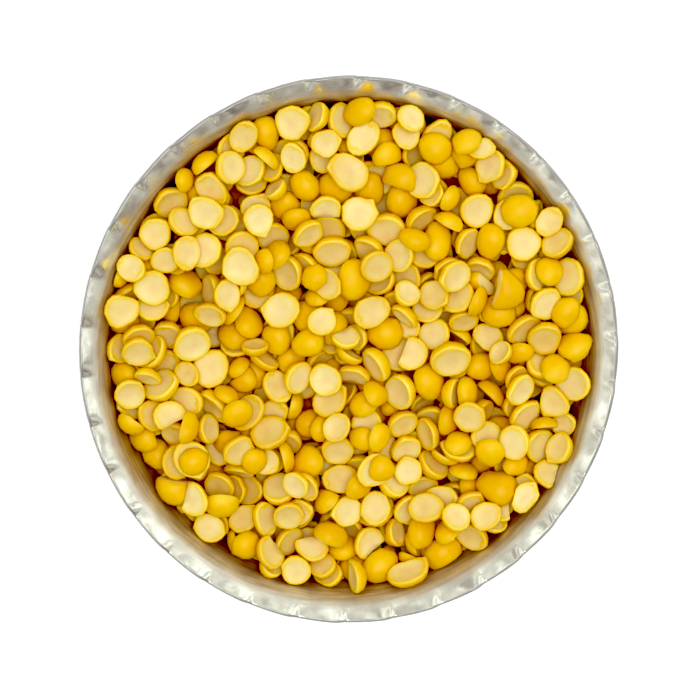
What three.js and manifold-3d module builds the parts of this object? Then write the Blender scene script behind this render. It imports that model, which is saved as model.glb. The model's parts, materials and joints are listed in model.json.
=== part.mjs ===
// A dish of chana dal: a small pressed sheet-metal bowl with a scalloped flange for a lip,
// filled with dry split chickpeas. Millimetres, +Z up, origin on the table under the
// middle of the bowl's base.

import * as THREE from "three";
import { mergeVertices } from "three/addons/utils/BufferGeometryUtils.js";
import Module from "manifold-3d";

// Bowl: driving dimensions
const RIM_RADIUS = 50; // inner edge of the lip, as a mean over the scallops
const BOWL_HEIGHT = 45; // table to the lip
const SHEET = 0.8; // wall thickness
const EDGE_CROWN = 0.27; // how far the lip's edge is crowned
const BASE_RADIUS = 27; // flat floor that the bowl stands on
const SHOULDER_RADIUS = 44.4; // where the belly ends and the wall begins to bend out
const SHOULDER_HEIGHT = 34;
const WALL_LEAN = THREE.MathUtils.degToRad(15); // lean of the wall at the shoulder, from upright
const LIP_SLOPE = THREE.MathUtils.degToRad(34.5); // rise of the flange, from level
const FLANGE_WIDTH = 3.1; // straight flange, measured up its slope
const FLOOR_PULL = 10; // how strongly the profile keeps to the floor...
const BELLY_PULL = 18; // ...to the wall's lean below the shoulder
const WALL_PULL = 4.5; // ...and above it
const BEND_PULL = 2.3; // ...and to the flange's slope
const OVAL = 0.01; // the bowl is this share longer along Y, and shorter along X, than round

// Scallops: a long facet and a short one meet at each crease of the flange
const SCALLOPS = 34;
const FIRST_CREASE = THREE.MathUtils.degToRad(4.5); // direction of one crease, from +X
const LONG_FACET = 0.66; // share of a scallop that its long facet takes
const SCALLOP_OUT = 0.3; // how far a crease stands out at the lip...
const SCALLOP_RISE = 1.1; // ...and how far it lies below the end of the long facet

// Dal: half chickpeas with one flat face and one domed side
const DAL_LENGTH = 6.7;
const DAL_LENGTH_SPREAD = 0.5;
const DAL_WIDTH_SHARE = [0.84, 0.98]; // width over length, narrowest and roundest
const DAL_THICKNESS = 2.9;
const DAL_BALANCE = 3 / 8; // height of a piece's centre of mass over its flat face, by thickness
const DAL_SIDES = 6;
const CORNER = 1.02; // reach of a ring's corners, over the radius of the round outline
const WAIST = 0.6; // share of the thickness at which the dome bends
const BEAK_SHARE = 0.12; // how far the root tip stands out of the round outline
const FLAT_UP_SHARE = 0.52; // share of the pieces that lie with the flat face up
const LEAN_SPREAD = THREE.MathUtils.degToRad(24); // lean of a piece as it lands

// Heap: the dal lies a little higher towards the back of the bowl
const CORE_LEVEL = 36.6; // top of the solid core at the bowl's axis
const CORE_TILT = THREE.MathUtils.degToRad(3);
const CORE_HIGH_SIDE = THREE.MathUtils.degToRad(94); // direction of the high side, from +X
const HEAP_GAP = 0.3; // air between the dal and the sheet
const CREST = 42.9; // a piece that would stand higher is left out
const DAL_COUNT = 232;
const DROP_RADIUS = 46.5; // pieces are dropped inside this radius
const DROP_CHOICES = 30; // each piece takes the deepest of this many random places
const SINK = 0.4; // each piece is pressed this far into what it lies on, to fuse

// Settling of the dal on a height map
const CELL = 0.5;
const MAP_HALF = 52;
const SETTLE_TRIES = 60;
const SLIDE_STEP = 1; // first sideways step of a settling piece
const SLIDE_LIMIT = 1.5; // how far a piece may slide from where it was dropped
const LEAN_STEP = 0.35; // first turn of a settling piece, in radians
const WALL_TOP = 200; // height that stands for the outside of the bowl
const SEED = 20;

const BELLY_STEPS = 7; // chords of the bowl's profile below the shoulder...
const BEND_STEPS = 4; // ...and from there to the flange
const MERGE_DISTANCE = 1e-4; // corners closer than this are one

const wasm = await Module();
wasm.setup();

// Bowl profile

const lip = new THREE.Vector2(RIM_RADIUS, BOWL_HEIGHT);
const shoulder = new THREE.Vector2(SHOULDER_RADIUS, SHOULDER_HEIGHT);
const floorEdge = new THREE.Vector2(BASE_RADIUS, SHEET);
const wallUp = new THREE.Vector2(Math.sin(WALL_LEAN), Math.cos(WALL_LEAN));
const lipOut = new THREE.Vector2(Math.cos(LIP_SLOPE), Math.sin(LIP_SLOPE));
const flangeFoot = lip.clone().addScaledVector(lipOut, -FLANGE_WIDTH);
const belly = new THREE.CubicBezierCurve(
  floorEdge,
  new THREE.Vector2(BASE_RADIUS + FLOOR_PULL, SHEET),
  shoulder.clone().addScaledVector(wallUp, -BELLY_PULL),
  shoulder,
);
const bend = new THREE.CubicBezierCurve(
  shoulder,
  shoulder.clone().addScaledVector(wallUp, WALL_PULL),
  flangeFoot.clone().addScaledVector(lipOut, -BEND_PULL),
  flangeFoot,
);

// Points of the sheet's inner face from the floor's edge to the lip, each with the
// direction out of the bowl, square to the sheet.
function innerFace() {
  const stations = [];
  const add = (point, tangent) => {
    stations.push({ point, outward: new THREE.Vector2(tangent.y, -tangent.x) });
  };
  for (const [curve, first, steps] of [
    [belly, 0, BELLY_STEPS],
    [bend, 1, BEND_STEPS],
  ]) {
    for (let i = first; i <= steps; i++) {
      add(curve.getPoint(i / steps), curve.getTangent(i / steps));
    }
  }
  add(lip, lipOut);
  return stations;
}

function offsetPoint(station, distance) {
  return station.point.clone().addScaledVector(station.outward, distance);
}

// Share of the full scallop at a place on the sheet: none at the flange's foot, all at the lip.
function scallopShare(radius, height) {
  const upTheFlange = new THREE.Vector2(radius, height).sub(flangeFoot).dot(lipOut);
  return THREE.MathUtils.clamp(upTheFlange / FLANGE_WIDTH, 0, 1);
}

// Turns a profile about +Z.
function lathe(profile, segments) {
  return new THREE.LatheGeometry(profile, segments).rotateX(Math.PI / 2);
}

// Moves every vertex by a function of its place.
function reshape(geometry, move) {
  const position = geometry.getAttribute("position");
  const vertex = new THREE.Vector3();
  for (let i = 0; i < position.count; i++) {
    vertex.fromBufferAttribute(position, i);
    move(vertex);
    position.setXYZ(i, vertex.x, vertex.y, vertex.z);
  }
  return geometry;
}

function makeOval(vertex) {
  vertex.x *= 1 - OVAL;
  vertex.y *= 1 + OVAL;
}

function bowlGeometry() {
  const inner = innerFace();
  const edge = inner.at(-1);
  const edgeTangent = new THREE.Vector2(-edge.outward.y, edge.outward.x);
  const roundedEdge = offsetPoint(edge, SHEET / 2).addScaledVector(edgeTangent, EDGE_CROWN);
  const profile = [
    new THREE.Vector2(0, 0),
    new THREE.Vector2(BASE_RADIUS, 0),
    ...inner.slice(1).map((station) => offsetPoint(station, SHEET)),
    roundedEdge,
    ...inner.map((station) => station.point).reverse(),
    new THREE.Vector2(0, SHEET),
  ];
  // Two columns of vertices to a scallop: one on the crease, which stands out and low, and
  // one at the end of the long facet, which stands in and high.
  const pitch = (2 * Math.PI) / SCALLOPS;
  return reshape(lathe(profile, 2 * SCALLOPS), (vertex) => {
    const column = Math.round(Math.atan2(vertex.y, vertex.x) / (pitch / 2));
    const onCrease = column % 2 === 0;
    const angle = FIRST_CREASE + pitch * (column / 2 + (onCrease ? 0 : LONG_FACET - 0.5));
    const radius = Math.hypot(vertex.x, vertex.y);
    const wave = (onCrease ? 0.5 : -0.5) * scallopShare(radius, vertex.z);
    const out = radius + SCALLOP_OUT * wave;
    vertex.set(out * Math.cos(angle), out * Math.sin(angle), vertex.z - SCALLOP_RISE * wave);
    makeOval(vertex);
  });
}

// Solids

function toSolid(geometry) {
  const bare = new THREE.BufferGeometry().setAttribute(
    "position",
    geometry.getAttribute("position"),
  );
  if (geometry.index) bare.setIndex(geometry.index);
  const merged = mergeVertices(bare, MERGE_DISTANCE);
  return new wasm.Manifold(
    new wasm.Mesh({
      numProp: 3,
      vertProperties: new Float32Array(merged.getAttribute("position").array),
      triVerts: new Uint32Array(merged.index.array),
    }),
  );
}

function toGeometry(solid) {
  const mesh = solid.getMesh();
  const geometry = new THREE.BufferGeometry();
  geometry.setAttribute("position", new THREE.BufferAttribute(mesh.vertProperties, 3));
  geometry.setIndex(new THREE.BufferAttribute(mesh.triVerts, 1));
  geometry.computeVertexNormals();
  return geometry;
}

// Inside of the bowl

// Profile of the space that the dal may fill, from the floor to the lip. The dal stays below
// the scallops.
function cavityProfile() {
  return innerFace().map((station) => offsetPoint(station, -HEAP_GAP));
}

function cavitySolid() {
  const wall = cavityProfile();
  const profile = [new THREE.Vector2(0, wall[0].y), ...wall, new THREE.Vector2(0, wall.at(-1).y)];
  return toSolid(lathe(profile, SCALLOPS));
}

function coreTop(x, y) {
  const towardsHighSide = x * Math.cos(CORE_HIGH_SIDE) + y * Math.sin(CORE_HIGH_SIDE);
  return CORE_LEVEL + towardsHighSide * Math.tan(CORE_TILT);
}

// The core is the cavity up to a level that leans with the heap.
function coreSolid(cavity) {
  const block = new THREE.BoxGeometry(4 * RIM_RADIUS, 4 * RIM_RADIUS, 2 * BOWL_HEIGHT);
  block.translate(0, 0, -BOWL_HEIGHT);
  block.rotateY(-CORE_TILT).rotateZ(CORE_HIGH_SIDE).translate(0, 0, CORE_LEVEL);
  return cavity.intersect(toSolid(block));
}

// Height of the bowl's inside at a distance from the axis.
function wallHeight(profile, radius) {
  if (radius >= profile.at(-1).x) return WALL_TOP;
  const above = profile.findIndex((point) => point.x > radius);
  if (above <= 0) return profile[0].y;
  const [low, high] = [profile[above - 1], profile[above]];
  return low.y + ((high.y - low.y) * (radius - low.x)) / (high.x - low.x);
}

// Settling

// A linear congruential generator, so that every build is the same.
function seededRandom(seed) {
  let state = seed >>> 0;
  return () => {
    state = (Math.imul(state, 1664525) + 1013904223) >>> 0;
    return state / 4294967296;
  };
}

const random = seededRandom(SEED);
const bell = () => random() + random() + random() - 1.5; // about -1.5 to 1.5

// Height map of everything laid so far.
class HeightMap {
  constructor() {
    this.side = Math.round((2 * MAP_HALF) / CELL) + 1;
    this.heights = new Float32Array(this.side * this.side);
    const wall = cavityProfile();
    for (let row = 0; row < this.side; row++) {
      for (let column = 0; column < this.side; column++) {
        const x = column * CELL - MAP_HALF;
        const y = row * CELL - MAP_HALF;
        this.heights[row * this.side + column] = Math.max(
          coreTop(x, y),
          wallHeight(wall, Math.hypot(x, y)),
        );
      }
    }
  }

  // Calls visit(cell, low, high) for each cell under a piece at x, y, with the piece's
  // lowest and highest point there, measured from the middle of its flat face.
  under(piece, x, y, turn, visit) {
    const inverse = new THREE.Matrix3().setFromMatrix4(
      new THREE.Matrix4().makeRotationFromQuaternion(turn.clone().invert()),
    ).elements;
    const half = [piece.width / 2, piece.length / 2, piece.thickness];
    const reach = Math.max(...half);
    const up = [inverse[6], inverse[7], inverse[8]];
    const upScaled = up.map((value, k) => value / half[k]);
    const a = upScaled.reduce((sum, value) => sum + value * value, 0);
    const first = (value) => Math.max(0, Math.ceil((value - reach + MAP_HALF) / CELL));
    const last = (value) => Math.min(this.side - 1, Math.floor((value + reach + MAP_HALF) / CELL));
    for (let row = first(y); row <= last(y); row++) {
      for (let column = first(x); column <= last(x); column++) {
        const dx = column * CELL - MAP_HALF - x;
        const dy = row * CELL - MAP_HALF - y;
        const local = [0, 1, 2].map((k) => inverse[k] * dx + inverse[3 + k] * dy);
        const scaled = local.map((value, k) => value / half[k]);
        const b = scaled.reduce((sum, value, k) => sum + value * upScaled[k], 0);
        const c = scaled.reduce((sum, value) => sum + value * value, 0) - 1;
        const root = b * b - a * c;
        if (root <= 0) continue;
        let low = (-b - Math.sqrt(root)) / a;
        let high = (-b + Math.sqrt(root)) / a;
        const cut = -local[2] / up[2]; // where the column meets the flat face
        if (up[2] > 0) low = Math.max(low, cut);
        else high = Math.min(high, cut);
        if (low < high) visit(row * this.side + column, low, high);
      }
    }
  }

  restingHeight(piece, x, y, turn) {
    let height = -Infinity;
    this.under(piece, x, y, turn, (cell, low) => {
      height = Math.max(height, this.heights[cell] - low);
    });
    return height;
  }

  lay(piece, rest) {
    this.under(piece, rest.x, rest.y, rest.turn, (cell, low, high) => {
      this.heights[cell] = Math.max(this.heights[cell], rest.height + high);
    });
  }
}

function smallTurn(angle) {
  const direction = 2 * Math.PI * random();
  const axis = new THREE.Vector3(Math.cos(direction), Math.sin(direction), 0);
  return new THREE.Quaternion().setFromAxisAngle(axis, angle);
}

function newPiece() {
  const [narrow, round] = DAL_WIDTH_SHARE;
  const length = DAL_LENGTH + DAL_LENGTH_SPREAD * bell();
  return {
    length,
    width: length * (narrow + (round - narrow) * random()),
    thickness: (DAL_THICKNESS * length) / DAL_LENGTH,
  };
}

// Turn of a piece as it lands: any heading, flat face up or down, with some lean.
function landingTurn() {
  const heading = new THREE.Quaternion().setFromAxisAngle(
    new THREE.Vector3(0, 0, 1),
    2 * Math.PI * random(),
  );
  const over = new THREE.Quaternion().setFromAxisAngle(
    new THREE.Vector3(1, 0, 0),
    random() < FLAT_UP_SHARE ? Math.PI : 0,
  );
  return smallTurn(LEAN_SPREAD * bell()).multiply(heading).multiply(over);
}

// Drops a piece in the deepest of a few random places, then lets it slide and rock to
// bring its centre of mass lower.
function settle(map, piece) {
  const middle = new THREE.Vector3(0, 0, DAL_BALANCE * piece.thickness);
  const place = (x, y, turn) => {
    const height = map.restingHeight(piece, x, y, turn) - SINK;
    const level = height + middle.clone().applyQuaternion(turn).z;
    return { x, y, turn, height, level, fill: level - coreTop(x, y) };
  };
  const start = landingTurn();
  let drop = { fill: Infinity };
  for (let i = 0; i < DROP_CHOICES; i++) {
    const radius = DROP_RADIUS * Math.sqrt(random());
    const angle = 2 * Math.PI * random();
    const choice = place(radius * Math.cos(angle), radius * Math.sin(angle), start);
    if (choice.fill < drop.fill) drop = choice;
  }
  let best = drop;
  for (let i = 0; i < SETTLE_TRIES; i++) {
    const calm = 1 - i / SETTLE_TRIES;
    const turn = smallTurn(LEAN_STEP * calm * bell()).multiply(best.turn);
    const x = best.x + SLIDE_STEP * calm * bell();
    const y = best.y + SLIDE_STEP * calm * bell();
    const trial = place(x, y, turn);
    const slid = Math.hypot(x - drop.x, y - drop.y);
    if (trial.level < best.level && slid < SLIDE_LIMIT) best = trial;
  }
  return best;
}

// Dal

// One half chickpea, flat face down at the origin, with a small beak along -Y.
function dalGeometry(piece) {
  const profile = [
    new THREE.Vector2(0, 0),
    new THREE.Vector2(CORNER, 0),
    new THREE.Vector2(CORNER * Math.sqrt(1 - WAIST * WAIST), WAIST),
    new THREE.Vector2(0, 1),
  ];
  return reshape(lathe(profile, DAL_SIDES), (vertex) => {
    const atBeak = vertex.y < -0.99 * CORNER;
    if (atBeak) vertex.y -= BEAK_SHARE;
    vertex.x *= piece.width / 2;
    vertex.y *= piece.length / 2;
    vertex.z *= piece.thickness;
  });
}

function heapGeometry() {
  const cavity = cavitySolid();
  const map = new HeightMap();
  const solids = [coreSolid(cavity)];
  for (let i = 0; i < DAL_COUNT; i++) {
    const piece = newPiece();
    const rest = settle(map, piece);
    const geometry = dalGeometry(piece);
    geometry.applyQuaternion(rest.turn);
    geometry.translate(rest.x, rest.y, rest.height);
    geometry.computeBoundingBox();
    if (geometry.boundingBox.max.z < CREST) {
      map.lay(piece, rest);
      solids.push(toSolid(geometry));
    }
  }
  const fused = wasm.Manifold.union(solids).intersect(cavity);
  const bodies = fused.decompose().sort((one, other) => other.volume() - one.volume());
  return reshape(toGeometry(bodies[0]), makeOval);
}

// Scene graph

const steel = new THREE.MeshStandardMaterial({ color: 0xc9cac6, roughness: 0.22, metalness: 1 });
const dalYellow = new THREE.MeshStandardMaterial({ color: 0xf0c23c, roughness: 0.55, metalness: 0 });

const bowl = new THREE.Mesh(bowlGeometry(), steel);
bowl.name = "bowl";

const dal = new THREE.Mesh(heapGeometry(), dalYellow);
dal.name = "dal_heap";

const dish = new THREE.Group();
dish.name = "dish_of_chana_dal";
dish.add(bowl, dal);

export default dish;
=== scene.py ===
# %% [markdown]
# A dish of chana dal
#
# The object is a small bowl of bright pressed metal, full of dry split chickpeas, seen from above.
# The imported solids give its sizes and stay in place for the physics. This lesson makes what shows:
# a thin bowl with a scalloped lip, a heap of half chickpeas that settle in it under their own
# weight, and then the light and the camera of the photograph.

# %% Load the frame
import json
import math

import bmesh
import bpy
import numpy as np
from mathutils import Matrix, Vector

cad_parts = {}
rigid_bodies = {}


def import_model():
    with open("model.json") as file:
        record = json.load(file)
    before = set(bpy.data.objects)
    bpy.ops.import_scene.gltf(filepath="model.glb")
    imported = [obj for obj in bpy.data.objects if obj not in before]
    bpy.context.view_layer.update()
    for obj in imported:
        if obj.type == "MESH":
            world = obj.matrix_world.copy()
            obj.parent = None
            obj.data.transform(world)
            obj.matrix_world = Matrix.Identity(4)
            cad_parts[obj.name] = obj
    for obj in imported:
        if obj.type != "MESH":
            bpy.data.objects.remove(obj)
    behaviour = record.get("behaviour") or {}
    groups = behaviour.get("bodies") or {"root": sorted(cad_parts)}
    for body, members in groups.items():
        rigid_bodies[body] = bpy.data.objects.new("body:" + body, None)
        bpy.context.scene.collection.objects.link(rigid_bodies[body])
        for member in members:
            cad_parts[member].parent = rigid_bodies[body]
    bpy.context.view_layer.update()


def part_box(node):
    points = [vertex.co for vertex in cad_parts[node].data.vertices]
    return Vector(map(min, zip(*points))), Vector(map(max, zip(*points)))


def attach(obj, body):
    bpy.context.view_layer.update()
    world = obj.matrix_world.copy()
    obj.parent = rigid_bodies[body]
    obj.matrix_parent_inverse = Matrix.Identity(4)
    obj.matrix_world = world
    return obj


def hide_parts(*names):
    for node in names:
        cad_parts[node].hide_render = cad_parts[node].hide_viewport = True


MM = 0.001
TO_MM = 1 / MM

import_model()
bowl_low, bowl_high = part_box("bowl")
heap_low, heap_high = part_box("dal_heap")
print("bowl, mm:", [round(side / MM, 1) for side in bowl_high - bowl_low])
print("heap, mm:", [round(side / MM, 1) for side in heap_high - heap_low])

# %% [markdown]
# Working as by hand
#
# Blender's operators act on whatever is selected, and the loaded solids start out selected. So each
# new piece begins with a clean selection, and faces or points are then picked by their place.

# %% Helpers for selecting


def start_fresh():
    """Leaves nothing selected, so that the next operator acts on the new piece alone."""
    bpy.ops.object.select_all(action="DESELECT")


def pick(mesh, mode, test):
    """Selects, in edit mode, the faces or points that pass a test."""
    bpy.ops.mesh.select_mode(type=mode)
    bpy.ops.mesh.select_all(action="DESELECT")
    grid = bmesh.from_edit_mesh(mesh)
    for item in grid.faces if mode == "FACE" else grid.verts:
        item.select_set(test(item))
    grid.select_flush_mode()
    bmesh.update_edit_mesh(mesh)


def points_of(mesh):
    """The points of a mesh as an array with a row for each."""
    flat = np.zeros(3 * len(mesh.vertices))
    mesh.vertices.foreach_get("co", flat)
    return flat.reshape(-1, 3)


# %% [markdown]
# The same mesh each time
#
# Some operators number the points and faces of a mesh anew in each run. That doesn't show on the piece
# itself, but a simulation that starts from it ends a little differently. So each finished mesh is
# rounded slightly and then numbered again, by the places of its points.

# %% Put points and faces in order
METRE_DIGITS = 7
UNIT_DIGITS = 5


def put_in_order(mesh, digits):
    """Rounds the points, then sorts points and faces by place. Adding 0.0 turns -0 into 0."""
    points = np.round(points_of(mesh), digits) + 0.0
    order = np.lexsort(points.T)
    rank = np.argsort(order)
    faces = []
    for face in mesh.polygons:
        corners = rank[list(face.vertices)].tolist()
        first = corners.index(min(corners))
        faces.append((corners[first:] + corners[:first], face.material_index))
    faces.sort()
    mesh.clear_geometry()
    mesh.from_pydata(points[order], [], [corners for corners, slot in faces])
    mesh.polygons.foreach_set("material_index", [slot for corners, slot in faces])


# %% [markdown]
# The bowl's profile
#
# The bowl was pressed from one thin round sheet. Its inner face is a flat floor, a rounded belly, a
# wall that leans out, and a narrow flange that turns out from it in a tight bend. Two Bezier curves
# draw that profile up to the flange's foot, and the flange itself is straight. The lip's size and
# height, and the slight oval of the bowl, are read from the solid; the other sizes are those that the
# solid was drawn with.

# %% Sizes of the bowl and its profile
SHEET = 0.8 * MM
BASE_RADIUS = 27 * MM
SHOULDER_RADIUS = 44.4 * MM
SHOULDER_HEIGHT = 34 * MM
WALL_LEAN = math.radians(15)
LIP_SLOPE = math.radians(34.5)
FLANGE_WIDTH = 3.1 * MM
FLOOR_PULL = 10 * MM
BELLY_PULL = 18 * MM
WALL_PULL = 4.5 * MM
BEND_PULL = 2.3 * MM
SCALLOPS = 34
SCALLOP_OUT = 0.3 * MM
SCALLOP_RISE = 1.1 * MM

bowl_width, bowl_length = (bowl_high - bowl_low).xy
oval = (bowl_length - bowl_width) / (bowl_length + bowl_width)
reach = (bowl_length + bowl_width) / 4
rim_radius = reach - SCALLOP_OUT / 2 - SHEET * math.sin(LIP_SLOPE)
rim_height = bowl_high.z - SCALLOP_RISE / 2

floor_edge = np.array((BASE_RADIUS, SHEET))
shoulder = np.array((SHOULDER_RADIUS, SHOULDER_HEIGHT))
lip = np.array((rim_radius, rim_height))
wall_up = np.array((math.sin(WALL_LEAN), math.cos(WALL_LEAN)))
lip_out = np.array((math.cos(LIP_SLOPE), math.sin(LIP_SLOPE)))
flange_foot = lip - FLANGE_WIDTH * lip_out
BELLY = (floor_edge, floor_edge + (FLOOR_PULL, 0), shoulder - BELLY_PULL * wall_up, shoulder)
BEND = (shoulder, shoulder + WALL_PULL * wall_up, flange_foot - BEND_PULL * lip_out, flange_foot)


def along_curve(corners, steps):
    """Points of a Bezier curve, without its first one."""
    share = np.linspace(0, 1, steps + 1)[1:, None]
    rest = 1 - share
    a, b, c, d = corners
    return a * rest**3 + 3 * b * rest**2 * share + 3 * c * rest * share**2 + d * share**3


def bowl_profile(belly_steps, bend_steps, flange_steps):
    """Radius and height of points up the inner face, from the floor's edge to the lip."""
    flange = flange_foot + np.linspace(0, 1, flange_steps + 1)[1:, None] * (lip - flange_foot)
    return np.vstack((floor_edge, along_curve(BELLY, belly_steps), along_curve(BEND, bend_steps), flange))


print("lip radius and height, mm:", np.round(lip / MM, 2), "oval:", round(oval, 4))

# %% [markdown]
# Raising the wall
#
# A disc is the floor. Its edge is extruded upwards ring by ring, and each ring is scaled to the
# profile, as a spinner raises a sheet over a form. There are ten columns of points to a scallop, so
# that the creases of the lip have points to stand on.

# %% Floor and wall
BELLY_STEPS = 14
BEND_STEPS = 14
FLANGE_STEPS = 6
COLUMN_PLACES = np.array((0, 0.03, 0.2, 0.43, 0.66, 0.76, 0.83, 0.89, 0.935, 0.97))
columns = SCALLOPS * len(COLUMN_PLACES)

start_fresh()
bpy.ops.mesh.primitive_circle_add(
    vertices=columns, radius=BASE_RADIUS, fill_type="TRIFAN", location=(0, 0, SHEET)
)
bowl = bpy.context.object
bowl.name = "bowl_shell"
bpy.ops.object.transform_apply(location=True)
bpy.ops.object.mode_set(mode="EDIT")
pick(bowl.data, "VERT", lambda point: point.co.xy.length > BASE_RADIUS / 2)
radius, height = floor_edge
for next_radius, next_height in bowl_profile(BELLY_STEPS, BEND_STEPS, FLANGE_STEPS)[1:]:
    bpy.ops.mesh.extrude_region_move(TRANSFORM_OT_translate={"value": (0, 0, next_height - height)})
    growth = next_radius / radius
    bpy.ops.transform.resize(value=(growth, growth, 1), center_override=(0, 0, next_height))
    radius, height = next_radius, next_height
bpy.ops.object.mode_set(mode="OBJECT")
print("bowl, one skin:", len(bowl.data.vertices), "points")

# %% [markdown]
# Scallops
#
# The flange is pressed into 34 scallops. From each crease a long facet rises slowly, then it curls
# down, steeper and steeper, to the next crease. They are strongest at the lip and fade out towards
# the flange's foot. A wave that runs round the bowl moves the points down and a little out at each
# crease, which keeps every facet true. The same step gives the bowl its slight oval.

# %% Press the scallops
FIRST_CREASE = math.radians(4.5)
LONG_FACET = 0.66
CURL_POWER = 3

points = points_of(bowl.data)
radii = np.hypot(points[:, 0], points[:, 1])
column = np.rint(np.arctan2(points[:, 1], points[:, 0]) / (2 * math.pi / columns)).astype(int)
scallop, place = np.divmod(column, len(COLUMN_PLACES))
share_of_pitch = COLUMN_PLACES[place]
angles = FIRST_CREASE + (scallop + share_of_pitch) * 2 * math.pi / SCALLOPS
curl = np.clip((share_of_pitch - LONG_FACET) / (1 - LONG_FACET), 0, 1) ** CURL_POWER
wave = 1 - 2 * np.minimum(share_of_pitch / LONG_FACET, 1) + 2 * curl
fade = np.clip((points[:, 2] - flange_foot[1]) / (rim_height - flange_foot[1]), 0, 1)
radii += SCALLOP_OUT / 2 * wave * fade
points[:, 0] = radii * np.cos(angles) * (1 - oval)
points[:, 1] = radii * np.sin(angles) * (1 + oval)
points[:, 2] -= SCALLOP_RISE / 2 * wave * fade
bowl.data.vertices.foreach_set("co", points.ravel())
print("lip rises and falls by, mm:", round(np.ptp(points[radii > rim_radius - SHEET, 2]) / MM, 2))

# %% [markdown]
# Thickness and the lip's edge
#
# Solidify gives the skin its thickness, away from the dal. It also puts the trimmed edge and the
# outside in materials of their own, as they are finished in other ways than the inside; the edge's
# darker grey is painted shade. A bevel then rounds the two sharp edges of the lip, because a trimmed
# lip is smoothed so that it doesn't cut, and its faces take the edge's material with its painted shade.
# It is limited by angle, so it finds those two edges and leaves the creases alone.

# %% Wall thickness
EDGE_ROUNDING = 0.25 * MM
ROUNDING_STEPS = 3
SHARP_EDGE = math.radians(70)
EDGE_MATERIAL = 1
OUTSIDE_MATERIAL = 2

metal = bpy.data.materials.new("bright_pressed_metal")
lip_edge_painted_shade_metal = bpy.data.materials.new("lip_edge_painted_shade")
outer_metal = bpy.data.materials.new("satin_metal_outside")
for material in (metal, lip_edge_painted_shade_metal, outer_metal):
    bowl.data.materials.append(material)
wall = bowl.modifiers.new("wall", "SOLIDIFY")
wall.thickness = SHEET
wall.offset = -1
wall.material_offset_rim = EDGE_MATERIAL
wall.material_offset = OUTSIDE_MATERIAL
rounding = bowl.modifiers.new("rounding", "BEVEL")
rounding.width = EDGE_ROUNDING
rounding.segments = ROUNDING_STEPS
rounding.material = EDGE_MATERIAL
rounding.limit_method = "ANGLE"
rounding.angle_limit = SHARP_EDGE
for modifier in ("wall", "rounding"):
    bpy.ops.object.modifier_apply(modifier=modifier)
put_in_order(bowl.data, METRE_DIGITS)
bpy.ops.object.shade_smooth()
print("bowl:", len(bowl.data.polygons), "faces")

# %% [markdown]
# Half chickpeas
#
# Chana dal is chickpeas without their skins, split in two. Each half has one flat pale face, a
# thick rounded rim and a golden dome, and many keep a small beak where the root was. One half is
# modelled from a sphere that is cut off just below its widest place. Two insets raise the rim and
# sink the middle of the cut. Each kind then gets its own change: an oval outline, a pulled beak, a
# deeper hollow or a broken side. A kind is copied many times, so it has few faces.

# %% One half chickpea
DAL_SIDES = 16
DAL_RINGS = 6
CUT_BELOW_WIDEST = 0.24
SQUARE_ON = 0.99
RIM_INSET = 0.08
RIM_RISE = 0.05
HOLLOW_INSET = 0.08


def half_chickpea(name, hollow):
    """A half of radius 1, flat face down, with its middle sunk by hollow."""
    start_fresh()
    bpy.ops.mesh.primitive_uv_sphere_add(segments=DAL_SIDES, ring_count=DAL_RINGS, radius=1)
    half = bpy.context.object
    half.name = name
    bpy.ops.object.mode_set(mode="EDIT")
    bpy.ops.mesh.select_all(action="SELECT")
    bpy.ops.mesh.bisect(
        plane_co=(0, 0, -CUT_BELOW_WIDEST), plane_no=(0, 0, 1), use_fill=True, clear_inner=True
    )
    pick(half.data, "FACE", lambda face: face.normal.z < -SQUARE_ON)
    bpy.ops.mesh.inset(thickness=RIM_INSET, depth=RIM_RISE)
    bpy.ops.mesh.inset(thickness=HOLLOW_INSET, depth=-hollow)
    bpy.ops.mesh.poke()
    return half


def squeeze(width, length):
    """Scales the half that is being edited, across and along."""
    bpy.ops.mesh.select_all(action="SELECT")
    bpy.ops.transform.resize(value=(width, length, 1), center_override=(0, 0, 0))


def finish_half(half):
    """Leaves edit mode with the mesh in order and smooth."""
    bpy.ops.object.mode_set(mode="OBJECT")
    put_in_order(half.data, UNIT_DIGITS)
    bpy.ops.object.shade_smooth()
    print(half.name, len(half.data.polygons), "faces")


# %% Round and oval halves
round_half = half_chickpea("dal_round", hollow=0.06)
squeeze(width=0.96, length=1)
finish_half(round_half)

oval_half = half_chickpea("dal_oval", hollow=0.07)
squeeze(width=0.86, length=1.06)
finish_half(oval_half)

# %% Beaked half
BEAK_FROM = 0.9
BEAK_SPOT = 0.1
BEAK_PULL = 0.15
BEAK_DROP = 0.05
BEAK_REACH = 0.42


def at_beak(point):
    """Whether a point lies at the end of the edge along +Y."""
    return point.co.y > BEAK_FROM and abs(point.co.x) < BEAK_SPOT and point.co.z < BEAK_SPOT


beaked_half = half_chickpea("dal_beaked", hollow=0.07)
pick(beaked_half.data, "VERT", at_beak)
bpy.ops.transform.translate(
    value=(0, BEAK_PULL, -BEAK_DROP),
    use_proportional_edit=True,
    proportional_edit_falloff="SMOOTH",
    proportional_size=BEAK_REACH,
)
squeeze(width=0.93, length=0.98)
finish_half(beaked_half)

# %% Hollow half
hollow_half = half_chickpea("dal_hollow", hollow=0.14)
squeeze(width=0.92, length=1)
finish_half(hollow_half)

# %% Broken half
BREAK_PLACE = (0.42, 0, 0)
BREAK_WAY = (1, 0.25, 0.2)
BREAK_INSET = 0.08
BREAK_SWELL = 0.03

broken_half = half_chickpea("dal_broken", hollow=0.06)
bpy.ops.mesh.select_all(action="SELECT")
bpy.ops.mesh.bisect(plane_co=BREAK_PLACE, plane_no=BREAK_WAY, use_fill=True, clear_outer=True)
break_normal = Vector(BREAK_WAY).normalized()
pick(broken_half.data, "FACE", lambda face: face.normal.dot(break_normal) > SQUARE_ON)
bpy.ops.mesh.inset(thickness=BREAK_INSET, depth=BREAK_SWELL)
bpy.ops.mesh.poke()
finish_half(broken_half)

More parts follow.
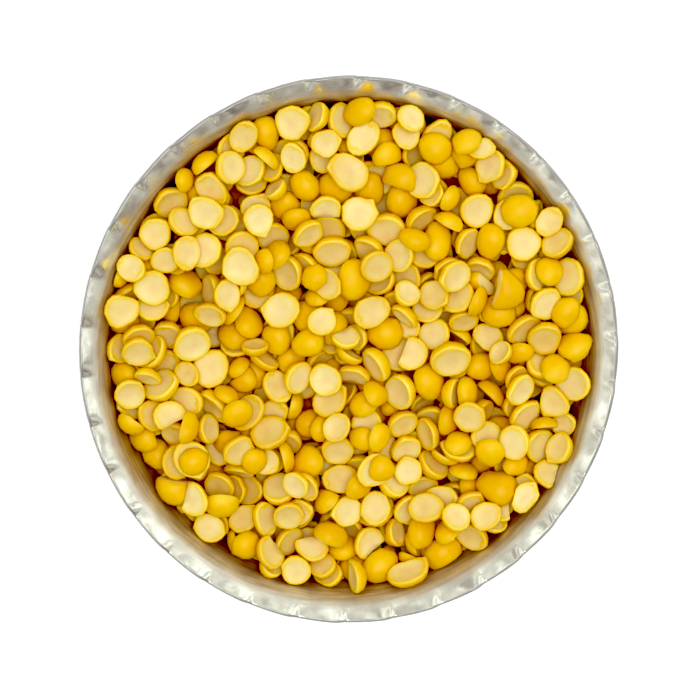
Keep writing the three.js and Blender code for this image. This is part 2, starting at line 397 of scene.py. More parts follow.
# %% The kinds and how common they are
KINDS = (round_half, oval_half, beaked_half, hollow_half, broken_half)
KIND_SHARES = np.array((0.32, 0.24, 0.22, 0.14, 0.08))
print("kinds:", dict(zip((half.name for half in KINDS), KIND_SHARES.tolist())))

# %% [markdown]
# Skin
#
# The flat face is cream, its rim is a clear yellow and the dome is golden. One number says where a
# corner of a face lies on that way from the middle of the flat face, 0, over the rim, 0.5, to the top
# of the dome, 1. It belongs to the corner and not the point, so that a broken side can be as pale as
# the flat face right up to its edge.

# %% Skin of each kind
RIM_SKIN = 0.5
BREAK_SKIN = 0.2
BREAK_FACING = 0.9
CUT_SLACK = 0.001
HOLLOW_REACH = 0.8


def skin_of(half):
    """The place on the way from flat face to dome for each corner of each face."""
    mesh = half.data
    skin = []
    for face in mesh.polygons:
        upright_break = half is broken_half and face.normal.x > BREAK_FACING
        for number in face.vertices:
            x, y, z = mesh.vertices[number].co
            out = math.hypot(x, y)
            above_cut = z + CUT_BELOW_WIDEST
            if upright_break:
                skin.append(BREAK_SKIN)
            elif above_cut < CUT_SLACK or z < 0 and out < HOLLOW_REACH:
                skin.append(RIM_SKIN * min(1, out))
            else:
                skin.append(RIM_SKIN + (1 - RIM_SKIN) * above_cut / (1 + CUT_BELOW_WIDEST))
    return np.array(skin)


skins = [skin_of(half) for half in KINDS]
print("skin runs from", round(min(map(np.min, skins)), 2), "to", round(max(map(np.max, skins)), 2))

# %% [markdown]
# Filling the bowl
#
# A real heap is poured: the pieces fall, slide and roll until they lie still against each other.
# Blender's rigid bodies do the same. To save time the pieces don't fall from above. They start in a
# loose stack that already fills the bowl, and only the last slide and roll is simulated. The stack is
# built on a height map, a grid that holds how high the bowl and all that lies in it reach. A piece is
# tried in a few random places and takes the deepest, its own top is added to the map, and the next
# piece follows. The draw is seeded, so the heap is the same each time.

# %% Height map of the bowl
CELL = 0.8 * MM
MAP_HALF = 52 * MM
WALL_GAP = 0.15 * MM
CORE_LEVEL = 32.5 * MM
HEAP_TILT = math.radians(4)
HEAP_HIGH_SIDE = math.radians(62)
BEYOND_LIP = 1

map_side = int(round(2 * MAP_HALF / CELL)) + 1
ruler = np.arange(map_side) * CELL - MAP_HALF
map_x, map_y = np.meshgrid(ruler, ruler)
profile = bowl_profile(belly_steps=60, bend_steps=60, flange_steps=10)
slope_up = math.tan(HEAP_TILT) * np.array((math.cos(HEAP_HIGH_SIDE), math.sin(HEAP_HIGH_SIDE)))


def heap_level(x, y):
    """How much higher than at the axis the heap lies at a place."""
    return slope_up[0] * x + slope_up[1] * y


def wall_height(x, y):
    """Height of the bowl's inner face over a place, and out of reach beyond the lip."""
    out = np.hypot(x / (1 - oval), y / (1 + oval)) + WALL_GAP
    return np.interp(out, profile[:, 0], profile[:, 1], right=BEYOND_LIP)


ground = np.maximum(wall_height(map_x, map_y), CORE_LEVEL + heap_level(map_x, map_y))
print("height map:", ground.shape, "cells of", round(CELL / MM, 2), "mm")

# %% [markdown]
# The core of the heap
#
# Below the pieces that show, the heap goes on as a plain core. It fills the bowl up to the level on
# which the loose dal is stacked, so no floor shows through a gap. It is raised from a disc like the
# bowl, a little inside its wall, and its top is then tilted as the heap is.

# %% Core
CORE_SIDES = 96
CORE_EDGE_DROP = 2 * MM
CORE_STEP = 6
TOP_SLACK = 0.01 * MM

core_wall = profile[profile[:, 1] < CORE_LEVEL - CORE_EDGE_DROP]

start_fresh()
bpy.ops.mesh.primitive_circle_add(
    vertices=CORE_SIDES, radius=BASE_RADIUS - WALL_GAP, fill_type="NGON", location=(0, 0, SHEET + WALL_GAP)
)
core = bpy.context.object
core.name = "dal_core"
bpy.ops.object.transform_apply(location=True)
bpy.ops.object.mode_set(mode="EDIT")
bpy.ops.mesh.select_all(action="SELECT")
radius, height = floor_edge
for next_radius, next_height in core_wall[CORE_STEP::CORE_STEP]:
    bpy.ops.mesh.extrude_region_move(TRANSFORM_OT_translate={"value": (0, 0, next_height - height)})
    growth = (next_radius - WALL_GAP) / (radius - WALL_GAP)
    bpy.ops.transform.resize(value=(growth, growth, 1), center_override=(0, 0, next_height))
    radius, height = next_radius, next_height
bpy.ops.mesh.select_all(action="SELECT")
bpy.ops.mesh.normals_make_consistent(inside=False)
bpy.ops.object.mode_set(mode="OBJECT")
points = points_of(core.data)
top = points[:, 2] > points[:, 2].max() - TOP_SLACK
points[top, 2] = CORE_LEVEL + heap_level(points[top, 0], points[top, 1])
points[:, 0] *= 1 - oval
points[:, 1] *= 1 + oval
core.data.vertices.foreach_set("co", points.ravel())
put_in_order(core.data, METRE_DIGITS)
print("core:", len(core.data.polygons), "faces, up to", round(points[:, 2].max() / MM, 1), "mm")

# %% [markdown]
# Loose dal
#
# No two halves are alike. Each copy of a kind gets a length and a thickness of its own, and a few slow
# waves round its edge make the outline uneven. Most halves come to lie with the flat face up, as in the
# photograph, and all of them lean a little.

# %% One loose piece
SEED = 7
DAL_LENGTH = 6.4 * MM
DAL_LENGTH_SPREAD = 0.65 * MM
DAL_LENGTH_RANGE = (4.9 * MM, 7.9 * MM)
DAL_THICKNESS_SHARE = (0.38, 0.48)
DAL_MIDDLE = 0.2
PLACE_DIGITS = 6
OUTLINE_SPREAD = 0.1
OUTLINE_WAVES = (2, 3, 5, 7)
FLAT_UP_SHARE = 0.77
LEAN_SPREAD = math.radians(40)

draw = np.random.default_rng(SEED)
print("seed of the draw:", SEED)


def shape_of_copy(kind):
    """Points of one copy of a kind, with its own size and a slightly uneven outline."""
    points = points_of(KINDS[kind].data) - (0, 0, DAL_MIDDLE)
    length = np.clip(draw.normal(DAL_LENGTH, DAL_LENGTH_SPREAD), *DAL_LENGTH_RANGE)
    thickness = length * draw.uniform(*DAL_THICKNESS_SHARE)
    angles = np.arctan2(points[:, 1], points[:, 0])
    bumps = sum(
        draw.normal(0, OUTLINE_SPREAD / waves) * np.cos(waves * angles + draw.uniform(0, 2 * math.pi))
        for waves in OUTLINE_WAVES
    )
    points[:, :2] *= (1 + bumps)[:, None] * length / 2
    points[:, 2] *= thickness / (1 + CUT_BELOW_WIDEST + RIM_RISE)
    return np.round(points, PLACE_DIGITS)


def landing_turn():
    """A turn of any heading, flat face up or down, with some lean."""
    over = math.pi if draw.random() < FLAT_UP_SHARE else 0
    lean_way = draw.uniform(0, 2 * math.pi)
    lean_axis = (math.cos(lean_way), math.sin(lean_way), 0)
    lean = Matrix.Rotation(draw.normal(0, LEAN_SPREAD), 3, lean_axis)
    heading = Matrix.Rotation(draw.uniform(0, 2 * math.pi), 3, "Z")
    return np.round(lean @ heading @ Matrix.Rotation(over, 3, "X"), PLACE_DIGITS)


# %% Stack dal loosely
STACK_RADIUS = 45.6 * MM
STACK_CHOICES = 32
FULL_LEVEL = 44.6 * MM
EDGE_RAISE = 5 * MM
EDGE_POWER = 8


def cells_under(points):
    """Rows and columns of the height map under some points."""
    places = np.rint((points[..., :2] + MAP_HALF) / CELL).astype(int)
    places = np.clip(places, 0, map_side - 1)
    return places[..., 1], places[..., 0]


def add_to_map(laid):
    """Raises the height map to the top of a piece."""
    np.maximum.at(ground, cells_under(laid), laid[:, 2])


def stack(points):
    """Tries a piece in random places and takes the deepest, or none if the bowl is full there."""
    turn = landing_turn()
    out = STACK_RADIUS * np.sqrt(draw.random(STACK_CHOICES))
    angles = draw.uniform(0, 2 * math.pi, STACK_CHOICES)
    places = np.stack((out * np.cos(angles), out * np.sin(angles), np.zeros(STACK_CHOICES)), axis=1)
    places = np.round(places, PLACE_DIGITS)
    tried = points @ turn.T + places[:, None]
    places[:, 2] = np.round((ground[cells_under(tried)] - tried[..., 2]).max(axis=1), PLACE_DIGITS)
    full = FULL_LEVEL + heap_level(places[:, 0], places[:, 1])
    full += EDGE_RAISE * (out / STACK_RADIUS) ** EDGE_POWER
    deepest = (places[:, 2] - full).argmin()
    if places[deepest, 2] > full[deepest]:
        return None
    add_to_map(tried[deepest] + (0, 0, places[deepest, 2]))
    return Matrix.Translation(places[deepest] * TO_MM) @ Matrix(turn).to_4x4()


# %% [markdown]
# Settling
#
# The engine behind rigid bodies is made for things as large as a hand, and works poorly on small
# ones. So bowl, core and dal are copied at a scale of one unit to a millimetre. Gravity is weak, which
# keeps each step short and the heap calm, and a collar over the wall keeps the stack from sliding out
# over the lip. The dal comes in four helpings: each fills the hollows that those before it leave.

# %% Still bodies: bowl, core and collar
SETTLE_GRAVITY = 400
SETTLE_SUBSTEPS = 8
DAL_FRICTION = 0.7
COLLAR_RADIUS = 47.3
COLLAR_FOOT = 41.5
COLLAR_HEIGHT = 20

scene = bpy.context.scene
scene.gravity = (0, 0, -SETTLE_GRAVITY)
bpy.ops.rigidbody.world_add()
scene.rigidbody_world.substeps_per_frame = SETTLE_SUBSTEPS

start_fresh()
bowl.select_set(True)
core.select_set(True)
bpy.ops.object.duplicate()
bpy.ops.transform.resize(value=(TO_MM, TO_MM, TO_MM), center_override=(0, 0, 0))
bpy.ops.object.transform_apply(location=True, scale=True)
still = list(bpy.context.selected_objects)
bpy.ops.mesh.primitive_cylinder_add(
    vertices=CORE_SIDES,
    radius=COLLAR_RADIUS,
    depth=COLLAR_HEIGHT,
    end_fill_type="NOTHING",
    location=(0, 0, COLLAR_FOOT + COLLAR_HEIGHT / 2),
    scale=(1 - oval, 1 + oval, 1),
)
still.append(bpy.context.object)
bpy.ops.object.transform_apply(location=True, scale=True)
for piece in still:
    piece.select_set(True)
bpy.ops.rigidbody.objects_add(type="PASSIVE")
for piece in still:
    piece.rigid_body.collision_shape = "MESH"
    piece.rigid_body.friction = DAL_FRICTION
print("still bodies:", [piece.name for piece in still])

# %% Pour a helping
DAL_WEIGHT = 0.05


def pour(count):
    """Stacks a helping of loose dal, as (kind, points, rigid body)."""
    helping = []
    start_fresh()
    for _ in range(count):
        kind = draw.choice(len(KINDS), p=KIND_SHARES)
        points = shape_of_copy(kind)
        place = stack(points)
        if place is None:
            continue
        mesh = KINDS[kind].data.copy()
        mesh.vertices.foreach_set("co", (points * TO_MM).ravel())
        piece = bpy.data.objects.new("loose_dal", mesh)
        piece.matrix_world = place
        scene.collection.objects.link(piece)
        piece.select_set(True)
        bpy.context.view_layer.objects.active = piece
        helping.append((kind, points, piece))
    bpy.ops.rigidbody.objects_add(type="ACTIVE")
    for kind, points, piece in helping:
        piece.rigid_body.collision_shape = "CONVEX_HULL"
        piece.rigid_body.use_margin = True
        piece.rigid_body.collision_margin = 0
        piece.rigid_body.friction = DAL_FRICTION
        piece.rigid_body.restitution = 0
        piece.rigid_body.mass = DAL_WEIGHT
    return helping


# %% Let the helpings settle
HELPINGS = (520, 200, 150, 120)
SETTLE_FRAMES = 40


def settle(helping):
    """Lets a helping slide and roll, then leaves its pieces where they lie, as still bodies."""
    scene.rigidbody_world.point_cache.frame_end = SETTLE_FRAMES
    for frame_number in range(1, SETTLE_FRAMES + 1):
        scene.frame_set(frame_number)
    graph = bpy.context.evaluated_depsgraph_get()
    rests = [piece.evaluated_get(graph).matrix_world.copy() for kind, points, piece in helping]
    scene.frame_set(1)
    for (kind, points, piece), rest in zip(helping, rests):
        piece.matrix_world = rest
        piece.rigid_body.type = "PASSIVE"


def laid_points(points, piece):
    """Points of a piece where it lies, in metres."""
    rest = np.array(piece.matrix_world)
    return points @ rest[:3, :3].T + rest[:3, 3] * MM


bare_ground = ground
heap = []
for count in HELPINGS:
    helping = pour(count)
    settle(helping)
    heap += helping
    ground = bare_ground.copy()
    for kind, points, piece in heap:
        add_to_map(laid_points(points, piece))
    top = max(laid_points(points, piece)[:, 2].max() for kind, points, piece in helping)
    print("helping of", len(helping), "reaches, mm:", round(top / MM, 1))

# %% Keep the places of the settled dal
DAL_ABOVE_LIP = 0.6 * MM
LOWEST_DAL = CORE_LEVEL / 2
HIGHEST_DAL = rim_height + DAL_ABOVE_LIP

copies = [[] for _ in KINDS]
for kind, points, piece in heap:
    laid = laid_points(points, piece)
    if LOWEST_DAL < laid[:, 2].min() and laid[:, 2].max() < HIGHEST_DAL:
        copies[kind].append(laid)
bpy.ops.rigidbody.world_remove()
bpy.data.batch_remove([piece.data for piece in (*still, *(piece for kind, points, piece in heap))])
everything = np.vstack([points for laid in copies for points in laid])
print("dal laid:", [len(laid) for laid in copies], "top, mm:", round(everything[:, 2].max() / MM, 1))

# %% [markdown]
# One mesh for each kind
#
# Hundreds of separate objects would be slow and clumsy, so all copies of a kind become one mesh. Each
# copy carries a tone, a random number that makes it a little paler or deeper than its neighbours,
# and a grain, which is its own place in a field of noise.

# %% Join the copies
dal_pieces = []
for half, laid, skin in zip(KINDS, copies, skins):
    mesh = half.data
    faces = [face.vertices[:] for face in mesh.polygons]
    points_each = len(mesh.vertices)
    all_faces = [
        [number + points_each * copy for number in face] for copy in range(len(laid)) for face in faces
    ]
    joined = bpy.data.meshes.new(half.name)
    joined.from_pydata(np.vstack(laid), [], all_faces)
    joined.attributes.new("skin", "FLOAT", "CORNER").data.foreach_set("value", np.tile(skin, len(laid)))
    tones = np.repeat(draw.random(len(laid)), points_each)
    joined.attributes.new("tone", "FLOAT", "POINT").data.foreach_set("value", tones)
    own_place = np.repeat(draw.uniform(0, 1, (len(laid), 3)), points_each, axis=0)
    grain = np.tile(points_of(mesh), (len(laid), 1)) * DAL_LENGTH / 2 + own_place
    joined.attributes.new("grain", "FLOAT_VECTOR", "POINT").data.foreach_set("vector", grain.ravel())
    joined.polygons.foreach_set("use_smooth", [True] * len(joined.polygons))
    half.data = joined
    dal_pieces.append(half)
    print(half.name, len(laid), "copies,", len(joined.polygons), "faces")

# %% [markdown]
# Finishes
#
# The looks are built from nodes that follow the place on the piece, so they hold at any distance and
# need no picture. A few helpers add the nodes that come up again and again: noise, a colour ramp, a
# change of range, a sum, a product of colours, and relief, which bends the light without new faces.

# %% Helpers for places, noise and ramps
NEW_STOP = 0.5


def node_tree(material):
    """The node tree of a material, and its shader."""
    material.use_nodes = True
    return material.node_tree, material.node_tree.nodes["Principled BSDF"]


def object_place(tree):
    return tree.nodes.new("ShaderNodeTexCoord").outputs["Object"]


def attribute(tree, name, output):
    node = tree.nodes.new("ShaderNodeAttribute")
    node.attribute_name = name
    return node.outputs[output]


def noise(tree, place, scale, detail):
    """Noise at a place, more of it fine where the detail is high."""
    node = tree.nodes.new("ShaderNodeTexNoise")
    node.inputs["Scale"].default_value = scale
    node.inputs["Detail"].default_value = detail
    tree.links.new(place, node.inputs["Vector"])
    return node.outputs["Fac"]


def ramp(tree, factor, stops):
    """A colour ramp through (position, colour) stops."""
    node = tree.nodes.new("ShaderNodeValToRGB")
    elements = node.color_ramp.elements
    while len(elements) < len(stops):
        elements.new(NEW_STOP)
    for element, (position, colour) in zip(elements, stops):
        element.position = position
        element.color = (*colour, 1)
    tree.links.new(factor, node.inputs["Fac"])
    return node.outputs["Color"]


# %% Helpers for ranges, sums, products and relief
NOISE_LOW = 0.3
NOISE_HIGH = 0.7


def between(tree, value, low, high, start=0, end=1):
    """Maps a value that runs from start to end to the range from low to high."""
    node = tree.nodes.new("ShaderNodeMapRange")
    limits = {"From Min": start, "From Max": end, "To Min": low, "To Max": high}
    for name, limit in limits.items():
        node.inputs[name].default_value = limit
    tree.links.new(value, node.inputs["Value"])
    return node.outputs["Result"]


def from_noise(tree, value, low, high):
    """Maps noise, which seldom leaves its middle values, to the range from low to high."""
    return between(tree, value, low, high, NOISE_LOW, NOISE_HIGH)


def plus(tree, first, second):
    node = tree.nodes.new("ShaderNodeMath")
    node.operation = "ADD"
    tree.links.new(first, node.inputs[0])
    tree.links.new(second, node.inputs[1])
    return node.outputs["Value"]


def times(tree, first, second):
    """Multiplies two colours. The node's factor says how much of the second counts."""
    node = tree.nodes.new("ShaderNodeMix")
    node.data_type = "RGBA"
    node.blend_type = "MULTIPLY"
    node.inputs["Factor"].default_value = 1
    tree.links.new(first, node.inputs["A"])
    tree.links.new(second, node.inputs["B"])
    return node.outputs["Result"]


def relief(tree, height, depth, strength, under=None):
    """Bends the light as a relief of some depth would, on top of another relief if one is given."""
    node = tree.nodes.new("ShaderNodeBump")
    node.inputs["Distance"].default_value = depth
    node.inputs["Strength"].default_value = strength
    tree.links.new(height, node.inputs["Height"])
    if under:
        tree.links.new(under, node.inputs["Normal"])
    return node.outputs["Normal"]


# %% [markdown]
# Inside of the bowl
#
# Bare metal takes its look from what it reflects. The flange is bright and smooth. The wall below it
# is duller and rougher, with fine rings that the forming left, and its darker, warmer grey is painted
# shade with a painted warm reflection of the dal. Both have soft smudges and shallow dents. One value
# rises from 0 on the wall to 1 on the flange, and all that changes between the two follows it, so
# there is one soft border and not several.

# %% From the wall to the flange
SHINE_BLEND = 0.8 * MM

tree, surface = node_tree(metal)
place = object_place(tree)
apart = tree.nodes.new("ShaderNodeSeparateXYZ")
tree.links.new(place, apart.inputs["Vector"])
up = apart.outputs["Z"]
foot_height = flange_foot[1]
on_flange = between(tree, up, 0, 1, foot_height - SHINE_BLEND, foot_height + SHINE_BLEND)
print("flange starts at, mm:", round(foot_height / MM, 2))

# %% Rings from the forming
RING_SCALE = 1400
RING_DETAIL = 2
RING_WANDER = 0.1

flat_place = tree.nodes.new("ShaderNodeCombineXYZ")
tree.links.new(apart.outputs["X"], flat_place.inputs["X"])
tree.links.new(apart.outputs["Y"], flat_place.inputs["Y"])
out = tree.nodes.new("ShaderNodeVectorMath")
out.operation = "LENGTH"
tree.links.new(flat_place.outputs["Vector"], out.inputs[0])
ring_place = tree.nodes.new("ShaderNodeCombineXYZ")
tree.links.new(out.outputs["Value"], ring_place.inputs["X"])
tree.links.new(up, ring_place.inputs["Y"])
wander = tree.nodes.new("ShaderNodeVectorMath")
wander.operation = "MULTIPLY_ADD"
wander.inputs[1].default_value = (RING_WANDER, RING_WANDER, RING_WANDER)
tree.links.new(place, wander.inputs[0])
tree.links.new(ring_place.outputs["Vector"], wander.inputs[2])
rings = noise(tree, wander.outputs["Vector"], RING_SCALE, RING_DETAIL)
print("with rings:", len(tree.nodes), "nodes")

# %% Gloss of the inside
LIP_ROUGHNESS = 0.15
WALL_ROUGHNESS = 0.58
WALL_METALLIC = 0.72
HANDLING_SCALE = 160
HANDLING_DETAIL = 3
HANDLING_ROUGHNESS = 0.06

handling = noise(tree, place, HANDLING_SCALE, HANDLING_DETAIL)
uneven = from_noise(tree, handling, -HANDLING_ROUGHNESS, HANDLING_ROUGHNESS)
shine = between(tree, on_flange, WALL_ROUGHNESS, LIP_ROUGHNESS)
tree.links.new(plus(tree, shine, uneven), surface.inputs["Roughness"])
tree.links.new(between(tree, on_flange, WALL_METALLIC, 1), surface.inputs["Metallic"])
print("with gloss:", len(tree.nodes), "nodes")

# %% Greys of the inside
WHITE = (1, 1, 1)
LIP_GREY = (0.97, 0.955, 0.83)
# The wall's darker, warmer grey is painted shade with a painted warm reflection of the dal.
WALL_PAINTED_SHADE_GREY = (0.72, 0.68, 0.57)
LIP_AND_PAINTED_SHADE_GREYS = ((0.3, WALL_PAINTED_SHADE_GREY), (1.0, LIP_GREY))
STREAKS = ((0.38, (0.82, 0.78, 0.71)), (0.6, WHITE))
SMUDGES = ((0.36, (0.85, 0.85, 0.85)), (0.6, WHITE))
SMUDGE_SCALE = 260
SMUDGE_DETAIL = 4

streaked = times(tree, ramp(tree, on_flange, LIP_AND_PAINTED_SHADE_GREYS), ramp(tree, rings, STREAKS))
only_wall = between(tree, on_flange, 1, 0)
tree.links.new(only_wall, streaked.node.inputs["Factor"])
smudges = ramp(tree, noise(tree, place, SMUDGE_SCALE, SMUDGE_DETAIL), SMUDGES)
tree.links.new(times(tree, streaked, smudges), surface.inputs["Base Color"])
print("with greys:", len(tree.nodes), "nodes")

# %% Relief of the inside
DENT_SCALE = 95
DENT_DEPTH = 1 * MM
DIMPLE_SCALE = 380
DIMPLE_DEPTH = 0.3 * MM
DENT_DETAIL = 2
DENT_STRENGTH = 0.12
RING_DEPTH = 0.12 * MM
RING_STRENGTH = 0.7
RING_SHARE_ON_FLANGE = 0.1

dents = relief(tree, noise(tree, place, DENT_SCALE, DENT_DETAIL), DENT_DEPTH, DENT_STRENGTH)
fine_dents = noise(tree, place, DIMPLE_SCALE, DENT_DETAIL)
dimples = relief(tree, fine_dents, DIMPLE_DEPTH, DENT_STRENGTH, dents)
formed = relief(tree, rings, RING_DEPTH, RING_STRENGTH, dimples)
fading = between(tree, on_flange, RING_STRENGTH, RING_SHARE_ON_FLANGE * RING_STRENGTH)
tree.links.new(fading, formed.node.inputs["Strength"])
tree.links.new(formed, surface.inputs["Normal"])
print("inside of the bowl:", len(tree.nodes), "nodes")

# %% [markdown]
# Edge and outside of the bowl
#
# The lip was trimmed and smoothed, so its narrow edge is rougher than the flange, and it is painted a
# darker grey, as painted shade. The photograph doesn't show the outside. It is given the plain brushed
# finish that such bowls often have: noise that is drawn out round the bowl, in the roughness and as a
# faint relief.

# %% Trimmed edge of the lip
# The edge's dark grey is painted shade; its roughness and burrs belong to the trimmed edge.
LIP_EDGE_PAINTED_SHADE_GREY = (0.42, 0.42, 0.4)
TRIMMED_ROUGHNESS = (0.35, 0.55)
BURR_SCALE = 900
BURR_DETAIL = 2
BURR_DEPTH = 0.05 * MM
BURR_STRENGTH = 0.4

tree, surface = node_tree(lip_edge_painted_shade_metal)
burrs = noise(tree, object_place(tree), BURR_SCALE, BURR_DETAIL)
tree.links.new(from_noise(tree, burrs, *TRIMMED_ROUGHNESS), surface.inputs["Roughness"])
tree.links.new(relief(tree, burrs, BURR_DEPTH, BURR_STRENGTH), surface.inputs["Normal"])
surface.inputs["Base Color"].default_value = (*LIP_EDGE_PAINTED_SHADE_GREY, 1)
surface.inputs["Metallic"].default_value = 1
print("trimmed edge:", len(tree.nodes), "nodes")

# %% Outside of the bowl
OUTSIDE_GREY = (0.5, 0.49, 0.46)
OUTSIDE_ROUGHNESS = (0.24, 0.42)
BRUSH_STRETCH = 14
BRUSH_SCALE = 90
BRUSH_DETAIL = 3
BRUSH_DEPTH = 0.1 * MM
BRUSH_STRENGTH = 0.2

tree, surface = node_tree(outer_metal)
stretch = tree.nodes.new("ShaderNodeMapping")
stretch.inputs["Scale"].default_value = (1, 1, BRUSH_STRETCH)
tree.links.new(object_place(tree), stretch.inputs["Vector"])
brushing = noise(tree, stretch.outputs["Vector"], BRUSH_SCALE, BRUSH_DETAIL)
tree.links.new(from_noise(tree, brushing, *OUTSIDE_ROUGHNESS), surface.inputs["Roughness"])
tree.links.new(relief(tree, brushing, BRUSH_DEPTH, BRUSH_STRENGTH), surface.inputs["Normal"])
surface.inputs["Base Color"].default_value = (*OUTSIDE_GREY, 1)
surface.inputs["Metallic"].default_value = 1
print("outside of the bowl:", len(tree.nodes), "nodes")

# %% [markdown]
# Dal
#
# Dal is matt and a little translucent, so its own colours matter more than reflections. A ramp along
# the skin runs from cream over yellow to gold, with a pale line on the rim that is a painted highlight,
# and noise makes its borders waver. The tone of a copy and soft patches deepen the colour, and pores
# and shallow bumps catch the light. Some light goes in and comes out again nearby, which makes the
# pieces look waxy. The core below is painted dark, as painted shade for the deep gaps.

# %% Colours along the skin
CREAM_MIDDLE = (0.89, 0.7, 0.38)
CREAM = (0.92, 0.77, 0.37)
PALE_YELLOW = (0.93, 0.74, 0.19)
# A pale line along the top of the rim is a painted highlight.
PAINTED_RIM_HIGHLIGHT = (0.95, 0.78, 0.25)
YELLOW_RIM = (0.91, 0.66, 0.095)
GOLD = (0.88, 0.61, 0.075)
DEEP_GOLD = (0.86, 0.56, 0.06)
SKIN_COLOURS = (
    (0.0, CREAM_MIDDLE),
    (0.22, CREAM),
    (0.33, CREAM),
    (0.385, PALE_YELLOW),
    (0.435, YELLOW_RIM),
    (0.485, PAINTED_RIM_HIGHLIGHT),
    (0.52, YELLOW_RIM),
    (0.64, GOLD),
    (1.0, DEEP_GOLD),
)
WAVER = 0.014
WAVER_SCALE = 600
WAVER_DETAIL = 2

dal_skin = bpy.data.materials.new("dal_skin")
tree, surface = node_tree(dal_skin)
grain = attribute(tree, "grain", "Vector")
blotches = noise(tree, grain, WAVER_SCALE, WAVER_DETAIL)
wavering = plus(tree, attribute(tree, "skin", "Fac"), from_noise(tree, blotches, -WAVER, WAVER))
skin_colour = ramp(tree, wavering, SKIN_COLOURS)
print("skin runs through", len(SKIN_COLOURS), "colours")

# %% Tone and patches
TONES = ((0.0, WHITE), (0.6, (0.97, 0.93, 0.85)), (1.0, (0.9, 0.82, 0.66)))
PATCHES = ((0.35, WHITE), (0.75, (0.93, 0.86, 0.74)))
PATCH_SCALE = 420
PATCH_DETAIL = 3
PATCH_SHARE = 0.8

toned = times(tree, skin_colour, ramp(tree, attribute(tree, "tone", "Fac"), TONES))
patches = ramp(tree, noise(tree, grain, PATCH_SCALE, PATCH_DETAIL), PATCHES)
mottled = times(tree, toned, patches)
mottled.node.inputs["Factor"].default_value = PATCH_SHARE
tree.links.new(mottled, surface.inputs["Base Color"])
print("with tones and patches:", len(tree.nodes), "nodes")

# %% Relief and gloss of the dal
PORE_SCALE = 2200
PORE_DEPTH = 0.06 * MM
PORE_STRENGTH = 0.3
BUMP_SCALE = 380
BUMP_DEPTH = 0.25 * MM
BUMP_STRENGTH = 0.35
BUMP_DETAIL = 2
DAL_ROUGHNESS = 0.42
DAL_SHINE = 0.35
INNER_LIGHT = 0.3
INNER_LIGHT_REACH = (1, 0.45, 0.1)
INNER_LIGHT_DEPTH = 1.2 * MM

pores = relief(tree, noise(tree, grain, PORE_SCALE, BUMP_DETAIL), PORE_DEPTH, PORE_STRENGTH)
bumps = relief(tree, noise(tree, grain, BUMP_SCALE, BUMP_DETAIL), BUMP_DEPTH, BUMP_STRENGTH, pores)
tree.links.new(bumps, surface.inputs["Normal"])
surface.inputs["Roughness"].default_value = DAL_ROUGHNESS
surface.inputs["Specular IOR Level"].default_value = DAL_SHINE
surface.inputs["Subsurface Weight"].default_value = INNER_LIGHT
surface.inputs["Subsurface Radius"].default_value = INNER_LIGHT_REACH
surface.inputs["Subsurface Scale"].default_value = INNER_LIGHT_DEPTH
for piece in dal_pieces:
    piece.data.materials.append(dal_skin)
print("dal skin:", len(tree.nodes), "nodes on", len(dal_pieces), "pieces")

# %% Dim core in painted shade
# The core's dark colours are painted shade for the deep gaps between the dal, not a colour of dal.
CORE_PAINTED_SHADE_COLOURS = ((0.35, (0.28, 0.11, 0.01)), (0.65, (0.6, 0.32, 0.03)))
CLUMP_SCALE = 260
CLUMP_DETAIL = 2
CORE_ROUGHNESS = 0.8

core_painted_shade = bpy.data.materials.new("dal_core_painted_shade")
tree, surface = node_tree(core_painted_shade)
clumps = noise(tree, object_place(tree), CLUMP_SCALE, CLUMP_DETAIL)
tree.links.new(ramp(tree, clumps, CORE_PAINTED_SHADE_COLOURS), surface.inputs["Base Color"])
surface.inputs["Roughness"].default_value = CORE_ROUGHNESS
core.data.materials.append(core_painted_shade)
print("core skin:", len(tree.nodes), "nodes")

# %% [markdown]
# Riding on the frame
#
# Nothing moves here, so every piece rides on the one body. The new pieces stand for the two solids,
# which stay out of sight for the physics.

# %% Tie the pieces to the frame
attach(bowl, "root")
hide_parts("bowl")
for piece in (*dal_pieces, core):
    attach(piece, "root")
    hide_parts("dal_heap")

# %% [markdown]
# Floor
#
# The photograph has a plain white ground. A large pale plane stands for it, and a faint glow keeps it
# white where the bowl takes away light.

# %% Floor
FLOOR_SIDE = 4
FLOOR_GREY = 0.93
FLOOR_ROUGHNESS = 0.9
FLOOR_GLOW = 0.25

start_fresh()
bpy.ops.mesh.primitive_plane_add(size=FLOOR_SIDE)
table = bpy.context.object
table.name = "floor"
pale = bpy.data.materials.new("pale_floor")
tree, surface = node_tree(pale)
surface.inputs["Base Color"].default_value = (FLOOR_GREY, FLOOR_GREY, FLOOR_GREY, 1)
surface.inputs["Roughness"].default_value = FLOOR_ROUGHNESS
surface.inputs["Emission Color"].default_value = (*WHITE, 1)
surface.inputs["Emission Strength"].default_value = FLOOR_GLOW
table.data.materials.append(pale)
print("floor:", FLOOR_SIDE, "m to a side")

# %% [markdown]
# Light
#
# The flange mirrors the room across the bowl: a bright window to the top right, paler walls to the
# left and a dark side to the bottom right. So the world is drawn as that room, by compass direction
# near the horizon and even above. A patchwork of noise makes parts of the walls lighter or darker, as
# the things in a room do, and so the facets of the flange differ. One broad lamp overhead makes the
# soft shadows between the dal.

# %% Walls of the room
ROOM_BRIGHTNESS = (
    (-180, 1.07),
    (-158, 0.92),
    (-140, 0.66),
    (-120, 0.6),
    (-65, 0.38),
    (-28, 0.4),
    (8, 0.95),
    (45, 1.14),
    (92, 0.78),
    (138, 0.76),
    (180, 1.07),
)


def grey_stops(levels):
    """Stops of a colour ramp in greys, from (position, level) pairs."""
    return [(position, (level, level, level)) for position, level in levels]


